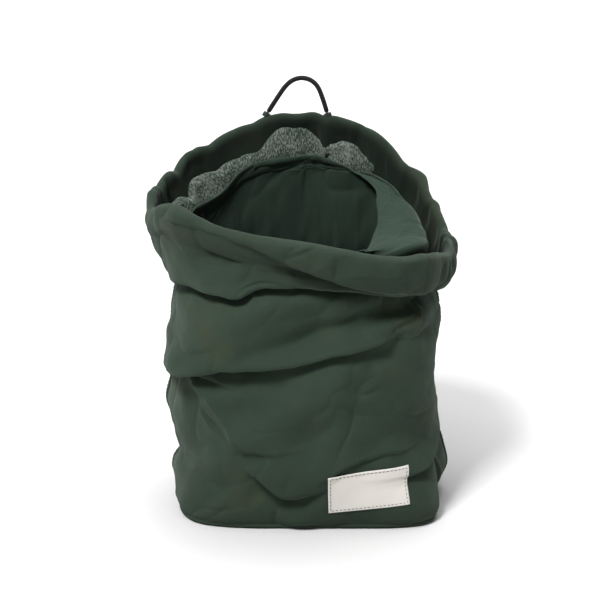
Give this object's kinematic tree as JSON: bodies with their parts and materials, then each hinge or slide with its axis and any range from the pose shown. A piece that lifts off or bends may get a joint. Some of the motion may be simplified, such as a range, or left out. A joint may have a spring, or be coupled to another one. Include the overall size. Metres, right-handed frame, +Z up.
{
  "type": "drawstring storage bag",
  "caption": "Lined cotton drawstring bag standing open on a boxed base, with a corded casing round its rim, an inner sack and a label.",
  "frame": {"origin": "on the floor, under the middle of the bag's bounding box, without the free bight of cord", "axes": "+Z up, -Y to the front where the rim is low and the label is, +Y to the back where the cord leaves the casing, +X to the right as seen from the front"},
  "size_m": [0.2453, 0.1601, 0.3421],
  "materials": {
    "outer_cloth": "dark green cotton twill",
    "lining_cloth": "speckled marl",
    "sack_cloth": "plain green cotton",
    "cord": "black braid",
    "label": "off-white woven tape",
    "thread": "dark green thread"
  },
  "bodies": {
    "bag": {"front_panel": "outer_cloth", "back_panel": "outer_cloth", "base_panel": "outer_cloth", "base_seam": "outer_cloth", "side_seam_left": "outer_cloth", "side_seam_right": "outer_cloth", "back_casing": "outer_cloth", "casing_corners": "outer_cloth", "back_lining": "lining_cloth", "front_lining": "lining_cloth", "sack_back": "sack_cloth", "sack_front": "sack_cloth", "sack_base": "sack_cloth", "collar_back": "sack_cloth", "collar_front": "sack_cloth", "cord_in_back_casing": "cord", "buttonhole_left": "thread", "buttonhole_right": "thread", "label": "label"},
    "mouth_lip": {"lip_panel": "outer_cloth", "lip_lining": "lining_cloth", "lip_casing": "outer_cloth", "cord_in_lip": "cord"},
    "cord_legs": {"cord_leg_left": "cord", "cord_leg_right": "cord"},
    "cord_bight": {"cord_bight": "cord"}
  },
  "joints": [
    {"name": "lip_lift", "type": "hinge", "parent": "bag", "child": "mouth_lip", "pos_m": [0, 0, 0.242], "axis": [-0.9913, 0, 0.1316], "range_deg": [0, 60]},
    {"name": "loop_tilt", "type": "hinge", "parent": "bag", "child": "cord_legs", "pos_m": [0, 0.07585, 0.31286], "axis": [-1, 0, 0], "range_deg": [-75, 90]},
    {"name": "cord_pull", "type": "slide", "parent": "cord_legs", "child": "cord_bight", "axis": [0, 0, 1], "range_m": [0, 0.06], "deforming": ["cord_leg_left", "cord_leg_right"]}
  ],
  "couplings": [
    {"joint": "cord_pull", "follows": "lip_lift", "m_per_rad": 0.057295}
  ]
}
